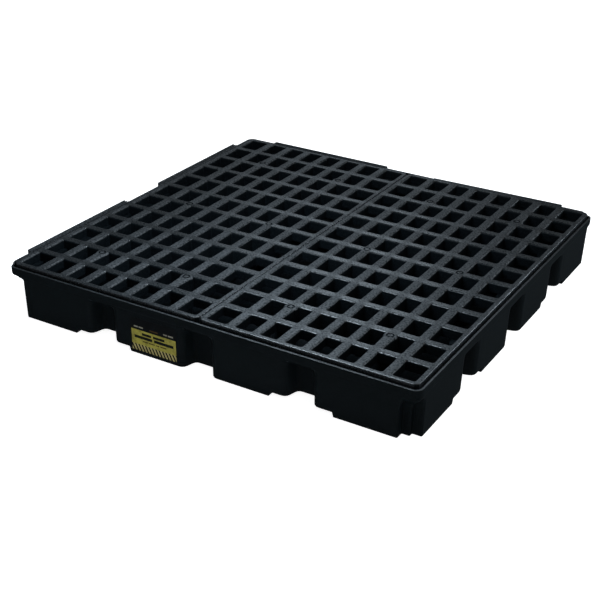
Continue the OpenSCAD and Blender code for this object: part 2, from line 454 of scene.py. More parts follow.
# ---- tray
def wall_corners():
    """Corners of the tray's wall in plan, CCW from the front-left corner of the front wall:
    (x, y, reach of the rounding, side). A reach of 0 is a plain point on a straight wall."""
    sides = []
    centre = {"front": DECK_X, "right": DECK_Y, "rear": DECK_X, "left": DECK_Y}

    def side_points(side):
        depth = {"front": DECK_Y - FLUTE_FLOOR_Y - WALL_Y0,
                 "rear": WALL_Y1 - DECK_Y - FLUTE_FLOOR_Y,
                 "left": DECK_X - FLUTE_FLOOR_X - WALL_X0,
                 "right": WALL_X1 - DECK_X - FLUTE_FLOOR_X}[side]
        flank = depth * 0.25
        mouth, floor = (16.0, 12.0) if depth > 30 else (6.0, 5.0)      # reaches of the rounding
        pts = []
        steps = [-CHANNEL[1], -CHANNEL[1] + RAMP, "flute", -CHANNEL[0] - RAMP, -CHANNEL[0], "mid",
                 CHANNEL[0], CHANNEL[0] + RAMP, "flute", CHANNEL[1] - RAMP, CHANNEL[1]]
        at = -FLUTE_AT
        for s in steps:
            if s in ("flute", "mid"):
                t0 = 0.0 if s == "mid" else at
                half = (MID_FLUTE_W if s == "mid" else FLUTE_W) / 2
                pts += [(t0 - half, 0.0, mouth), (t0 - half + flank, depth, floor),
                        (t0 + half - flank, depth, floor), (t0 + half, 0.0, mouth)]
                if s == "flute":
                    at = FLUTE_AT
            else:
                pts.append((s, 0.0, 0.0))
        return pts

    def place(side, t, d):
        mid = centre[side]
        return {"front": (mid + t, WALL_Y0 + d), "right": (WALL_X1 - d, mid + t),
                "rear": (mid - t, WALL_Y1 - d), "left": (WALL_X0 + d, mid - t)}[side]

    for side in ("front", "right", "rear", "left"):
        for t, d, reach in side_points(side):
            x, y = place(side, t, d)
            sides.append((x, y, reach, side))
        sides += recess(side)
    return sides


def recess(side):
    """Stepped recess at the corner that ends a side, CCW."""
    sx, sy, cx, cy = {"front": (1, -1, WALL_X1, WALL_Y0), "right": (1, 1, WALL_X1, WALL_Y1),
                      "rear": (-1, 1, WALL_X0, WALL_Y1), "left": (-1, -1, WALL_X0, WALL_Y0)}[side]
    dx = abs(cx - DECK_X) - FOOT_END
    dy = abs(cy - DECK_Y) - FOOT_END
    a, b = 0.55 * dx, 0.65 * dy
    pts = [(dx, 0.0), (dx, b), (a, b), (a, dy), (0.0, dy)]
    if side in ("right", "left"):
        pts.reverse()
    soft = 4.0 if min(dx, dy) > 12 else 3.0
    return [(cx - sx * u, cy - sy * v, soft, "corner_" + side) for u, v in pts]


CORNERS = wall_corners()
ARC = 4


def offset_polygon(corners, d):
    """The corners of the closed polygon with every edge moved inwards by d."""
    n = len(corners)
    lines = []
    for i in range(n):
        (x0, y0), (x1, y1) = corners[i][:2], corners[(i + 1) % n][:2]
        length = math.hypot(x1 - x0, y1 - y0)
        ux, uy = (x1 - x0) / length, (y1 - y0) / length
        nx, ny = -uy, ux                      # inwards, for a CCW polygon
        lines.append((x0 + nx * d, y0 + ny * d, ux, uy, nx, ny))
    out = []
    for i in range(n):
        ax, ay, aux, auy, anx, any_ = lines[i - 1]
        bx, by, bux, buy = lines[i][:4]
        cross = aux * buy - auy * bux
        if abs(cross) < 1e-6:
            out.append((corners[i][0] + anx * d, corners[i][1] + any_ * d))
            continue
        s = ((bx - ax) * buy - (by - ay) * bux) / cross
        out.append((ax + aux * s, ay + auy * s))
    return out


def rounded(corners, points):
    """Rounds each of the points whose corner has a reach, with ARC points on a curve."""
    n = len(points)
    out = []
    for i in range(n):
        x, y = points[i]
        reach = corners[i][2]
        if reach == 0.0:
            out.append((x, y))
            continue
        px, py = points[i - 1]
        qx, qy = points[(i + 1) % n]
        la, lb = math.hypot(px - x, py - y), math.hypot(qx - x, qy - y)
        ra, rb = min(reach, 0.45 * la), min(reach, 0.45 * lb)
        a = (x + (px - x) / la * ra, y + (py - y) / la * ra)
        b = (x + (qx - x) / lb * rb, y + (qy - y) / lb * rb)
        for k in range(ARC):
            s = k / (ARC - 1)
            out.append(tuple((1 - s) ** 2 * a[m] + 2 * s * (1 - s) * (x, y)[m] + s * s * b[m]
                             for m in (0, 1)))
    return out


def labels_of(corners):
    """Side name of every rounded point, and its fraction along a corner's run."""
    names = [c[3] for c in corners for _ in range(1 if c[2] == 0.0 else ARC)]
    fractions = []
    for name, run in itertools.groupby(names):
        n = len(list(run))
        fractions += [k / (n - 1) if name.startswith("corner") else 0.0 for k in range(n)]
    return names, fractions


NAMES, FRACTIONS = labels_of(CORNERS)
FLUTED = rounded(CORNERS, [c[:2] for c in CORNERS])
N = len(FLUTED)


def rect_point(rect, r, name, start, end, s):
    """A point s of the way round a corner of a rounded rectangle, from start to end."""
    x0, x1, y0, y1 = rect
    cx, cy, first = {
        "corner_front": (x1 - r, y0 + r, 270), "corner_right": (x1 - r, y1 - r, 0),
        "corner_rear": (x0 + r, y1 - r, 90), "corner_left": (x0 + r, y0 + r, 180)}[name]
    a0, a1 = math.radians(first), math.radians(first + 90)
    p0 = (cx + r * math.cos(a0), cy + r * math.sin(a0))
    p1 = (cx + r * math.cos(a1), cy + r * math.sin(a1))
    la = math.hypot(p0[0] - start[0], p0[1] - start[1])
    lb = math.hypot(p1[0] - end[0], p1[1] - end[1])
    arc = r * math.pi / 2
    d = s * (la + arc + lb)
    if d <= la:
        q = d / la if la else 0.0
        return (lerp(start[0], p0[0], q), lerp(start[1], p0[1], q))
    if d >= la + arc:
        q = (d - la - arc) / lb if lb else 0.0
        return (lerp(p1[0], end[0], q), lerp(p1[1], end[1], q))
    a = a0 + (d - la) / r
    return (cx + r * math.cos(a), cy + r * math.sin(a))


def rect_loop(x0, x1, y0, y1, r):
    """The tray's points laid on a rounded rectangle."""
    rect = (x0, x1, y0, y1)
    out = [{"front": (x, y0), "right": (x1, y), "rear": (x, y1), "left": (x0, y)}.get(name)
           for name, (x, y) in zip(NAMES, FLUTED)]
    for i, name in enumerate(NAMES):
        if not name.startswith("corner"):
            continue
        if FRACTIONS[i] == 0.0:
            j = i
            while NAMES[j] == name:
                j = (j + 1) % N
            fx, fy = FLUTED[i]
            gx, gy = FLUTED[(j - 1) % N]
            start = {"corner_front": (fx, y0), "corner_right": (x1, fy),
                     "corner_rear": (fx, y1), "corner_left": (x0, fy)}[name]
            end = {"corner_front": (x1, gy), "corner_right": (gx, y1),
                   "corner_rear": (x0, gy), "corner_left": (gx, y0)}[name]
        tight = 0.6 if name == "corner_left" else 1.0      # as in the photograph
        out[i] = rect_point(rect, r * tight, name, start, end, FRACTIONS[i])
    return out


def ramp(t, grow=0.0):
    """Height of the underside at a distance t from the middle, across one direction. grow
    widens the channels."""
    t = abs(t)
    up = (t - CHANNEL[0] + grow) / RAMP
    down = (CHANNEL[1] + grow - t) / RAMP
    return CHANNEL_H * clamp(min(up, down))


def bottom_z(x, y):
    return max(ramp(x - DECK_X), ramp(y - DECK_Y))


def floor_z(x, y):
    """Height of the inside floor: the underside lifted by the wall's thickness."""
    return WALL_T + max(ramp(x - DECK_X, FLOOR_GROW), ramp(y - DECK_Y, FLOOR_GROW))


def wall_t_along(i):
    """Distance of point i from the middle of its own side, for the channel steps."""
    x, y = FLUTED[i]
    if NAMES[i] in ("front", "rear"):
        return x - DECK_X
    if NAMES[i] in ("left", "right"):
        return y - DECK_Y
    return FOOT_END


def draft_shift(name, z):
    """How far the wall of a side stands outside its CAD place at height z."""
    low, high = {"front": (-0.5, 3.6), "right": (-0.5, 3.6), "rear": (-0.6, 1.5),
                 "left": (-0.6, 1.5)}[name]
    return lerp(low, high, z / BAND_Z)


def drafted(points, z):
    """Moves a plan loop outwards or inwards by the draft of the four walls at height z."""
    fx = (draft_shift("left", z), draft_shift("right", z))
    fy = (draft_shift("front", z), draft_shift("rear", z))
    half_x = (WALL_X1 - WALL_X0) / 2
    half_y = (WALL_Y1 - WALL_Y0) / 2
    mx, my = (WALL_X0 + WALL_X1) / 2, (WALL_Y0 + WALL_Y1) / 2
    out = []
    for x, y in points:
        u, v = (x - mx) / half_x, (y - my) / half_y
        out.append((x + (fx[1] * max(0.0, u) ** 8 - fx[0] * max(0.0, -u) ** 8),
                    y + (fy[1] * max(0.0, v) ** 8 - fy[0] * max(0.0, -v) ** 8)))
    return out


def top_z(i):
    """Height of the top of the rim or lip over point i."""
    name = NAMES[i]
    if name in ("front", "right", "corner_front"):
        return LIP_Z
    if name in ("left", "rear", "corner_rear"):
        return DECK_Z
    s = FRACTIONS[i]
    if name == "corner_right":                # lip, then rim
        k = (s - 0.62) / 0.08
    else:                                     # corner_left: rim, then lip
        k = (0.38 - s) / 0.08
    return lerp(LIP_Z, DECK_Z, clamp(k))


def outer_loops():
    """Loops of the outside of the tray from the underside's edge to the band."""
    loops = []
    inset_foot = rounded(CORNERS, offset_polygon(CORNERS, 3.0))
    inset_half = rounded(CORNERS, offset_polygon(CORNERS, 0.9))
    zb = [ramp(wall_t_along(i)) for i in range(N)]
    low = drafted(FLUTED, 0.0)
    shift = [(low[i][0] - FLUTED[i][0], low[i][1] - FLUTED[i][1]) for i in range(N)]
    for inset, dz in ((inset_foot, 0.0), (inset_half, 0.9)):
        loops.append([(inset[i][0] + shift[i][0], inset[i][1] + shift[i][1], zb[i] + dz)
                      for i in range(N)])
    loops.append([(low[i][0], low[i][1], zb[i] + 3.0) for i in range(N)])
    plain = rect_loop(WALL_X0, WALL_X1, WALL_Y0, WALL_Y1, WALL_R)
    # height, and the shares of their depth that the flutes and the front corner's recess have
    # there: all run out under the band, that recess more softly and the other corners' crisply
    for z, flute, recess_share in ((24.0, 1.0, 1.0), (60.0, 1.0, 1.0), (82.0, 1.0, 0.95),
                                   (96.0, 1.0, 0.83), (104.0, 1.0, 0.7), (109.0, 0.965, 0.56),
                                   (113.0, 0.89, 0.44), (116.5, 0.77, 0.32), (119.5, 0.6, 0.22),
                                   (122.0, 0.4, 0.13), (124.0, 0.2, 0.06), (125.5, 0.07, 0.02),
                                   (WALL_TOP, 0.0, 0.0)):
        full, flat = drafted(FLUTED, z), drafted(plain, z)
        row = []
        for i in range(N):
            if NAMES[i] == "corner_front":
                share = recess_share
            elif NAMES[i].startswith("corner"):
                share = min(1.0, 2.0 * flute)
            else:
                share = flute
            row.append((lerp(flat[i][0], full[i][0], share),
                        lerp(flat[i][1], full[i][1], share), z))
        loops.append(row)
    return loops


def band_loops():
    """Loops of the band: its underside, outer wall, top and inner side, down to the ledge."""
    rows = []
    wall = drafted(rect_loop(WALL_X0, WALL_X1, WALL_Y0, WALL_Y1, WALL_R), WALL_TOP)
    band = rect_loop(BAND_X0, BAND_X1, BAND_Y0, BAND_Y1, BAND_R)
    # from the wall out to the band: share of the way, and height. Where the wall and the band
    # are nearly flush these rows just rise.
    for share, z in ((0.03, 129.2), (0.12, 130.6), (0.3, BAND_Z), (0.7, BAND_Z),
                     (0.86, BAND_Z + 0.7), (0.95, BAND_Z + 2.6), (0.985, BAND_Z + 5.6),
                     (1.0, BAND_Z + 11.0)):
        rows.append([(lerp(wall[i][0], band[i][0], share), lerp(wall[i][1], band[i][1], share), z)
                     for i in range(N)])
    f = 0.9                                   # rounding of the top edges
    # over the top and down to the ledge: inset at the rim, inset at the lip, and height, from
    # the top or fixed
    for d_rim, d_lip, dz, fixed_z in (
            (0.0, 0.0, -f, None), (0.3 * f, 0.3 * f, -0.3 * f, None), (f, f, 0.0, None),
            (RIM_T - 0.8, LIP_T - f, 0.0, None), (RIM_T - 0.2, LIP_T - 0.3 * f, -0.3 * f, None),
            (RIM_T, LIP_T, -f, None), (RIM_T, LIP_T, 0.0, LEDGE_Z + 2.0),
            (RIM_T + 0.6, LIP_T + 0.6, 0.0, LEDGE_Z + 0.6),
            (RIM_T + 2.0, LIP_T + 2.0, 0.0, LEDGE_Z)):
        loop = rect_loop(BAND_X0 + d_rim, BAND_X1 - d_lip, BAND_Y0 + d_lip, BAND_Y1 - d_rim,
                         BAND_R - min(d_rim, d_lip))
        rows.append([(loop[i][0], loop[i][1], top_z(i) + dz if fixed_z is None else fixed_z)
                     for i in range(N)])
    return rows


def inner_loops():
    """Loops of the inside: the ledge's inner edge, the sump's wall and its foot."""
    rows = []
    for inset, z in ((WALL_T - 1.5, LEDGE_Z), (WALL_T - 0.45, LEDGE_Z - 0.45),
                     (WALL_T, LEDGE_Z - 1.5), (WALL_T + 0.5, 110.0), (WALL_T + 1.0, 60.0)):
        plan = rounded(CORNERS, offset_polygon(CORNERS, inset))
        rows.append([(p[0], p[1], z) for p in plan])
    for inset, dz in ((WALL_T + 1.5, 6.0), (WALL_T + 2.6, 1.8), (WALL_T + 6.5, 0.0)):
        plan = rounded(CORNERS, offset_polygon(CORNERS, inset))
        rows.append([(p[0], p[1], floor_z(p[0], p[1]) + dz) for p in plan])
    return rows


def inside(px, py, loop):
    """Whether a point lies in a closed plan loop."""
    hit = False
    j = len(loop) - 1
    for i, (x, y) in enumerate(loop):
        xj, yj = loop[j]
        if (y > py) != (yj > py) and px < (xj - x) * (py - y) / (yj - y) + x:
            hit = not hit
        j = i
    return hit


GRATE_GAP = 3.0
POST_X = [DECK_X + g * (GRATE_W + GRATE_GAP) / 2 + c for g in (-1, 1) for c in MARK_X]
POST_Y = [DECK_Y + y for y in (-475.0, 0.0, 475.0)]
POST_N = 32
POST_FOOT_R, HOLLOW_R = 45.0, 37.0


def plate(bm, loop, height, hole_r, steps):
    """Flat-and-ramped plate inside a loop of vertices, with a round hole at each post."""
    pts = [(v.co.x, v.co.y) for v in loop]
    coords = list(pts)
    edges = [(i, (i + 1) % len(pts)) for i in range(len(pts))]
    holes = [(x, y) for x in POST_X for y in POST_Y]
    for x, y in holes:
        first = len(coords)
        coords += circle(x, y, hole_r, POST_N)
        edges += [(first + k, first + (k + 1) % POST_N) for k in range(POST_N)]
    min_x, max_x = min(p[0] for p in pts), max(p[0] for p in pts)
    min_y, max_y = min(p[1] for p in pts), max(p[1] for p in pts)
    for t in steps:
        for s in (-1, 1):
            x, y = DECK_X + s * t, DECK_Y + s * t
            n = len(coords)
            coords += [(x, min_y), (x, max_y), (min_x, y), (max_x, y)]
            edges += [(n, n + 1), (n + 2, n + 3)]
    res = delaunay_2d_cdt([Vector(p) for p in coords], edges, [], 0, 1e-4)
    verts, faces = res[0], res[2]
    made = [None] * len(verts)
    hole_reach = hole_r * math.cos(math.pi / POST_N)
    for f in faces:
        mx = sum(verts[i].x for i in f) / len(f)
        my = sum(verts[i].y for i in f) / len(f)
        if not inside(mx, my, pts):
            continue
        if any(math.hypot(mx - hx, my - hy) < hole_reach for hx, hy in holes):
            continue
        for i in f:
            if made[i] is None:
                x, y = verts[i]
                made[i] = bm.verts.new((x, y, height(x, y)))
        bm.faces.new([made[i] for i in f])


def posts(bm):
    """Hollow posts that rise from the floor to the grates."""
    top = POST_TOP
    rise = [(POST_FOOT_R, WALL_T), (41.8, WALL_T + 1.0), (40.0, WALL_T + 4.0), (26.2, top - 2.4),
            (25.2, top - 0.7), (23.2, top)]
    hollow = [(HOLLOW_R, 0.0), (35.2, 0.8), (34.2, 3.0), (20.2, top - 9.4), (19.0, top - 7.6),
              (16.5, top - 7.0)]
    for cx in POST_X:
        for cy in POST_Y:
            for rows in (rise, hollow):
                loops = [add_loop(bm, [(x, y, z) for x, y in circle(cx, cy, r, POST_N)])
                         for r, z in rows]
                skin(bm, loops)
                bm.faces.new(loops[-1])


def make_tray(materials):
    """The tray with its posts. materials: outside; lip and rim tops, a lighter copy of the plastic
    that is painted light; inside, a darker copy that is painted shade.
    """
    bm = bmesh.new()
    outside = [add_loop(bm, row) for row in outer_loops() + band_loops()]
    skin(bm, outside)
    near, far = CHANNEL
    plate(bm, outside[0], bottom_z, HOLLOW_R, (near, near + RAMP, far - RAMP, far))
    # painted light: the tops of the lip and rim get a lighter, glossier copy of the tray plastic
    for face in bm.faces:
        if min(v.co.z for v in face.verts) > LIP_Z - 2.0:
            face.material_index = 1
    done = set(bm.faces)
    loops = [outside[-1]] + [add_loop(bm, row) for row in inner_loops()]
    skin(bm, loops)
    near, far = near - FLOOR_GROW, far + FLOOR_GROW
    plate(bm, loops[-1], floor_z, POST_FOOT_R, (near, near + RAMP, far - RAMP, far))
    posts(bm)
    # painted shade: the inside of the sump and the posts get the darker copy of the plastic
    for face in bm.faces:
        if face not in done:
            face.material_index = 2
    obj = new_object("sump_tray", bm, materials, 32.0)
    finish_normals(obj, 32.0)
    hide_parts("tray", "grate_posts")
    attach(obj, "tray")


# ---- joining tabs
def bevelled(bm, width):
    """Rounds every edge that isn't nearly flat."""
    edges = [e for e in bm.edges if len(e.link_faces) == 2 and e.calc_face_angle() > 0.5]
    bmesh.ops.bevel(bm, geom=edges, offset=width, offset_type="OFFSET", segments=3,
                    profile=0.5, affect="EDGES", clamp_overlap=True)


TAB_FROM, TAB_TO = 90.0, 552.0
TAB_T = 5.0
HOOK_H = 16.0
TAB_GROOVES = (0.62, 0.26)          # two fine lines along a tab, as shares of its reach
TAB_GROOVE_W, TAB_GROOVE_H = 4.0, 2.6
TAB_SAG = 5.0                       # the rear right tab hangs lower at its inner end


def tab_solid(reach, length):
    """One tab along +Y from y = 0, reaching to -X from x = 0, with its top at z = 0. Its plate
    runs back over the rim and its hook hangs down at the outer edge."""
    bm = bmesh.new()
    profile = [(-reach, -HOOK_H), (-reach + TAB_T, -HOOK_H), (-reach + TAB_T, -TAB_T),
               (RIM_T, -TAB_T), (RIM_T, 0.0)]
    for share in reversed(TAB_GROOVES):
        near, far = -reach * share + TAB_GROOVE_W / 2, -reach * share - TAB_GROOVE_W / 2
        profile += [(near, 0.0), (near, -TAB_GROOVE_H), (far, -TAB_GROOVE_H), (far, 0.0)]
    profile.append((-reach, 0.0))
    ends = [add_loop(bm, [(x, y, z) for x, z in profile]) for y in (0.0, length)]
    bridge(bm, ends[0], ends[1])
    bm.faces.new(ends[0])
    bm.faces.new(ends[1])
    bmesh.ops.recalc_face_normals(bm, faces=bm.faces)
    corners = [e for e in bm.edges if all(v.co.x < -reach + 0.01 for v in e.verts)
               and abs(e.verts[0].co.y - e.verts[1].co.y) < 0.01]
    bmesh.ops.bevel(bm, geom=corners, offset=4.0, offset_type="OFFSET", segments=4, profile=0.5,
                    affect="EDGES")
    bevelled(bm, 1.1)
    return bm


def make_tabs(material):
    """Two tabs on the left and two at the rear."""
    length = TAB_TO - TAB_FROM
    left_reach = BAND_X0 - TRAY_LO.x
    rear_reach = TRAY_HI.y - BAND_Y1
    spots = []
    for side, sign in (("front", -1), ("rear", 1)):
        start = DECK_Y + (TAB_FROM if sign > 0 else -TAB_TO)
        place = Matrix.Translation((BAND_X0, start, DECK_Z))
        spots.append(("left_tab_" + side, left_reach, place))
    for side, sign in (("left", -1), ("right", 1)):
        start = DECK_X + (TAB_FROM if sign > 0 else -TAB_TO)
        turn = Matrix.Rotation(math.radians(-90), 4, "Z")
        place = Matrix.Translation((start, BAND_Y1, DECK_Z)) @ turn
        spots.append(("rear_tab_" + side, rear_reach, place))
    for name, reach, matrix in spots:
        bm = tab_solid(reach, length)
        if name == "rear_tab_right":
            for v in bm.verts:
                v.co.z -= TAB_SAG * (1 - v.co.y / length)
        bmesh.ops.transform(bm, matrix=matrix, verts=bm.verts)
        obj = new_object(name, bm, [material])
        finish_normals(obj)
        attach(obj, "tray")


# ---- label
def label_outline(w, h, r):
    """Rounded rectangle from (0, 0) to (w, h), CCW."""
    outline = []
    for cx, cz, start in ((w - r, r, 270), (w - r, h - r, 0), (r, h - r, 90), (r, r, 180)):
        for turn in QUARTER:
            a = math.radians(start + turn)
            outline.append((cx + r * math.cos(a), cz + r * math.sin(a)))
    return outline


def stripe_edges(lo_x, hi_x, lo_z, hi_z, count, lean):
    """Edges of the leaning stripes that lie between lo_x and hi_x, as (x0, z0, x1, z1)."""
    pitch = (hi_x - lo_x) / count
    found = []
    for k in range(-2, 2 * count + 8):
        x0 = lo_x + k * pitch / 2
        x1 = x0 + lean * (hi_z - lo_z)
        ends = []
        for x in (x0, x1):
            kept = min(hi_x, max(lo_x, x))
            ends.append((kept, lerp(lo_z, hi_z, (kept - x0) / (x1 - x0))))
        if abs(ends[0][0] - ends[1][0]) > 0.01:
            found.append((*ends[0], *ends[1]))
    return found


def make_label(materials):
    """Thin printed plate. materials: black, field, cream, brown, dim."""
    lo, hi = LABEL_LO, LABEL_HI
    w, h = hi.x - lo.x, hi.z - lo.z
    black, field, cream, brown, dim = range(5)
    inner = 3.0                               # black margin, and the radius of the corners
    header = h - 37.0                         # the dark header starts here
    strip = inner + 20.0                      # the stripes end here
    field_h = header - inner
    count, lean = 13, -0.45                   # number and slope of the stripes
    pitch = (w - 2 * inner) / count

    def block(x0, x1, middle, half, mat):
        """Plain bar in the field, as fractions of its width and of its height from the top."""
        return (x0 * w, x1 * w, header - (middle + half) * field_h,
                header - (middle - half) * field_h, mat)

    bars = ((0.163, 0.06, black, ((0.25, 0.45), (0.49, 0.74))),
            (0.338, 0.068, black, ((0.08, 0.47), (0.51, 0.93))),
            (0.51, 0.028, brown, ((0.26, 0.37), (0.39, 0.52), (0.54, 0.62), (0.64, 0.77))))
    blocks = [block(x0, x1, middle, half, mat) for middle, half, mat, row in bars for x0, x1 in row]
    # marks in the header: left and right end as fractions, lower and upper edge in millimetres
    blocks += [(x0 * w, x1 * w, header + z0, header + z1, mat) for x0, x1, z0, z1, mat in (
        (0.08, 0.165, 7.0, 11.5, dim), (0.185, 0.28, 7.0, 11.5, dim), (0.42, 0.6, 6.0, 10.0, brown),
        (0.72, 0.8, 7.0, 11.5, dim), (0.82, 0.93, 7.0, 11.5, dim))]

    def region(x, z):
        for x0, x1, z0, z1, mat in blocks:
            if x0 < x < x1 and z0 < z < z1:
                return mat
        if not (inner < x < w - inner and inner < z < header):
            return black
        if z < strip:
            return cream if ((x - inner - lean * (z - inner)) / pitch) % 1.0 < 0.5 else black
        return field

    outline = label_outline(w, h, inner)
    coords = list(outline)
    edges = [(i, (i + 1) % len(outline)) for i in range(len(outline))]
    lines = [(0, header, w, header), (inner, inner, w - inner, inner),
             (inner, inner, inner, header), (w - inner, inner, w - inner, header),
             (inner, strip, w - inner, strip)]
    for x0, x1, z0, z1, _ in blocks:
        lines += [(x0, z0, x1, z0), (x0, z1, x1, z1), (x0, z0, x0, z1), (x1, z0, x1, z1)]
    lines += stripe_edges(inner, w - inner, inner, strip, count, lean)
    for x0, z0, x1, z1 in lines:
        edges.append((len(coords), len(coords) + 1))
        coords += [(x0, z0), (x1, z1)]

    verts, _, faces = delaunay_2d_cdt([Vector(c) for c in coords], edges, [], 0, 1e-5)[:3]
    bm = bmesh.new()
    front = [bm.verts.new((lo.x + v.x, lo.y, lo.z + v.y)) for v in verts]
    for f in faces:
        mx = sum(verts[i].x for i in f) / len(f)
        mz = sum(verts[i].y for i in f) / len(f)
        if inside(mx, mz, outline):
            bm.faces.new([front[i] for i in f]).material_index = region(mx, mz)
    loose = [v for v in bm.verts if not v.link_faces]
    bmesh.ops.delete(bm, geom=loose, context="VERTS")
    rim = [e for e in bm.edges if len(e.link_faces) == 1]
    ext = bmesh.ops.extrude_edge_only(bm, edges=rim)
    for v in ext["geom"]:
        if isinstance(v, bmesh.types.BMVert):
            v.co.y = hi.y
    bmesh.ops.edgeloop_fill(bm, edges=[e for e in bm.edges if len(e.link_faces) == 1])
    for v in bm.verts:
        v.co.y -= draft_shift("front", v.co.z)
    obj = new_object("hazard_label_print", bm, materials, 30.0, weld=0.0005)
    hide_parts("hazard_label")
    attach(obj, "tray")


# ---- materials
def node_material(name):
    """A material with an empty Principled shader, and its object coordinates."""
    mat = bpy.data.materials.new(name)
    mat.use_nodes = True
    tree = mat.node_tree
    nodes, links = tree.nodes, tree.links
    nodes.clear()
    out = nodes.new("ShaderNodeOutputMaterial")
    bsdf = nodes.new("ShaderNodeBsdfPrincipled")
    links.new(bsdf.outputs["BSDF"], out.inputs["Surface"])
    coord = nodes.new("ShaderNodeTexCoord")
    return mat, tree, bsdf, coord.outputs["Object"]


def noise(tree, vector, scale, detail, rough):
    tex = tree.nodes.new("ShaderNodeTexNoise")
    tex.inputs["Scale"].default_value = scale
    tex.inputs["Detail"].default_value = detail
    tex.inputs["Roughness"].default_value = rough
    tree.links.new(vector, tex.inputs["Vector"])
    return tex.outputs["Fac"]


def ramp_node(tree, fac, stops):
    """A colour ramp between two stops, (position, colour)."""
    node = tree.nodes.new("ShaderNodeValToRGB")
    for element, (pos, colour) in zip(node.color_ramp.elements, stops):
        element.position = pos
        element.color = (*colour, 1.0)
    tree.links.new(fac, node.inputs["Fac"])
    return node.outputs["Color"]


def math_node(tree, op, a, b):
    node = tree.nodes.new("ShaderNodeMath")
    node.operation = op
    for socket, value in zip(node.inputs, (a, b)):
        if hasattr(value, "node"):
            tree.links.new(value, socket)
        else:
            socket.default_value = value
    return node.outputs["Value"]


def mapped(tree, fac, lo, hi, out_lo, out_hi):
    node = tree.nodes.new("ShaderNodeMapRange")
    for name, value in (("From Min", lo), ("From Max", hi), ("To Min", out_lo), ("To Max", out_hi)):
        node.inputs[name].default_value = value
    tree.links.new(fac, node.inputs["Value"])
    return node.outputs["Result"]


def bump(tree, height, strength, distance, normal=None):
    node = tree.nodes.new("ShaderNodeBump")
    node.inputs["Strength"].default_value = strength
    node.inputs["Distance"].default_value = distance
    tree.links.new(height, node.inputs["Height"])
    if normal is not None:
        tree.links.new(normal, node.inputs["Normal"])
    return node.outputs["Normal"]


def black_plastic(name, dark, light, rough, grain, specular, smooth=None):
    """Moulded polyethylene: base colour between dark and light, with grain on its skin. smooth
    is the (roughness, base colour) of the places marked as smooth bars."""
    mat, tree, bsdf, where = node_material(name)
    cloud = noise(tree, where, 7.0, 4.0, 0.6)
    fine = noise(tree, where, 900.0, 2.0, 0.6)
    speck = noise(tree, where, 170.0, 4.0, 0.7)
    tone = math_node(tree, "ADD", math_node(tree, "MULTIPLY", cloud, 0.3),
                     math_node(tree, "MULTIPLY", speck, 0.7))
    colour = ramp_node(tree, tone, [(0.38, dark), (0.62, light)])
    roughness = mapped(tree, tone, 0.3, 0.7, rough[0], rough[1])
    shine = mapped(tree, speck, 0.4, 0.6, specular * (1 - grain), specular * (1 + grain))
    first = bump(tree, speck, grain, 0.0006)
    second = bump(tree, fine, grain * 0.8, 0.0003, first)
    if smooth is not None:
        mark = tree.nodes.new("ShaderNodeAttribute")
        mark.attribute_name = "smooth_bar"
        share = mark.outputs["Fac"]
        drop = math_node(tree, "MULTIPLY", share, (rough[0] + rough[1]) / 2 - smooth[0])
        roughness = math_node(tree, "SUBTRACT", roughness, drop)
        ease = math_node(tree, "SUBTRACT", 1.0,
                         math_node(tree, "MULTIPLY", share, 0.8))
        for socket in (first, second):
            tree.links.new(math_node(tree, "MULTIPLY", ease, grain),
                      socket.node.inputs["Strength"])
        mix = tree.nodes.new("ShaderNodeMix")
        mix.data_type = "RGBA"
        mix.inputs["B"].default_value = (*smooth[1], 1.0)
        tree.links.new(share, mix.inputs["Factor"])
        tree.links.new(colour, mix.inputs["A"])
        colour = mix.outputs["Result"]
    tree.links.new(colour, bsdf.inputs["Base Color"])
    tree.links.new(roughness, bsdf.inputs["Roughness"])
    tree.links.new(shine, bsdf.inputs["Specular IOR Level"])
    tree.links.new(second, bsdf.inputs["Normal"])
    return mat


FILM_ROUGH = 0.42


def film(name, colour, spread):
    """Printed film, its colour darker by up to spread in places."""
    mat, tree, bsdf, where = node_material(name)
    cloud = noise(tree, where, 60.0, 4.0, 0.6)
    dark = tuple(c * (1 - spread) for c in colour)
    tree.links.new(ramp_node(tree, cloud, [(0.35, dark), (0.65, colour)]),
              bsdf.inputs["Base Color"])
    tree.links.new(mapped(tree, cloud, 0.3, 0.7, FILM_ROUGH - 0.05, FILM_ROUGH + 0.08),
              bsdf.inputs["Roughness"])
    fine = noise(tree, where, 700.0, 2.0, 0.5)
    tree.links.new(bump(tree, fine, 0.15, 0.0002), bsdf.inputs["Normal"])
    bsdf.inputs["Specular IOR Level"].default_value = 0.06
    return mat


tray_plastic = black_plastic("tray_polyethylene", (0.002, 0.0035, 0.0043),
                             (0.0026, 0.0045, 0.0055), (0.45, 0.55), 0.06, 0.05)
# painted light: lighter copy of the tray plastic for the tops of the lip and rim
lit_lip_plastic = black_plastic("lip_polyethylene_painted_light", (0.006, 0.0075, 0.0085), (0.012, 0.0145, 0.016),
                            (0.36, 0.46), 0.3, 0.6)
tab_plastic = black_plastic("tab_polyethylene", (0.005, 0.0065, 0.0075), (0.016, 0.0185, 0.021),
                            (0.5, 0.7), 0.7, 0.35)
# painted shade: darker copy of the plastic for the cells' walls, the ring grooves and the inside of
# the sump
shade_plastic = black_plastic("painted_shade_polyethylene", (0.0012, 0.002, 0.0026),
                             (0.003, 0.0046, 0.0058), (0.45, 0.6), 0.3, 0.08)
grate_plastic = black_plastic("grate_polyethylene", (0.0062, 0.0073, 0.0081),
                              (0.0215, 0.024, 0.0265), (0.5, 0.68), 0.85, 0.4,
                              (0.29, (0.005, 0.0062, 0.007)))
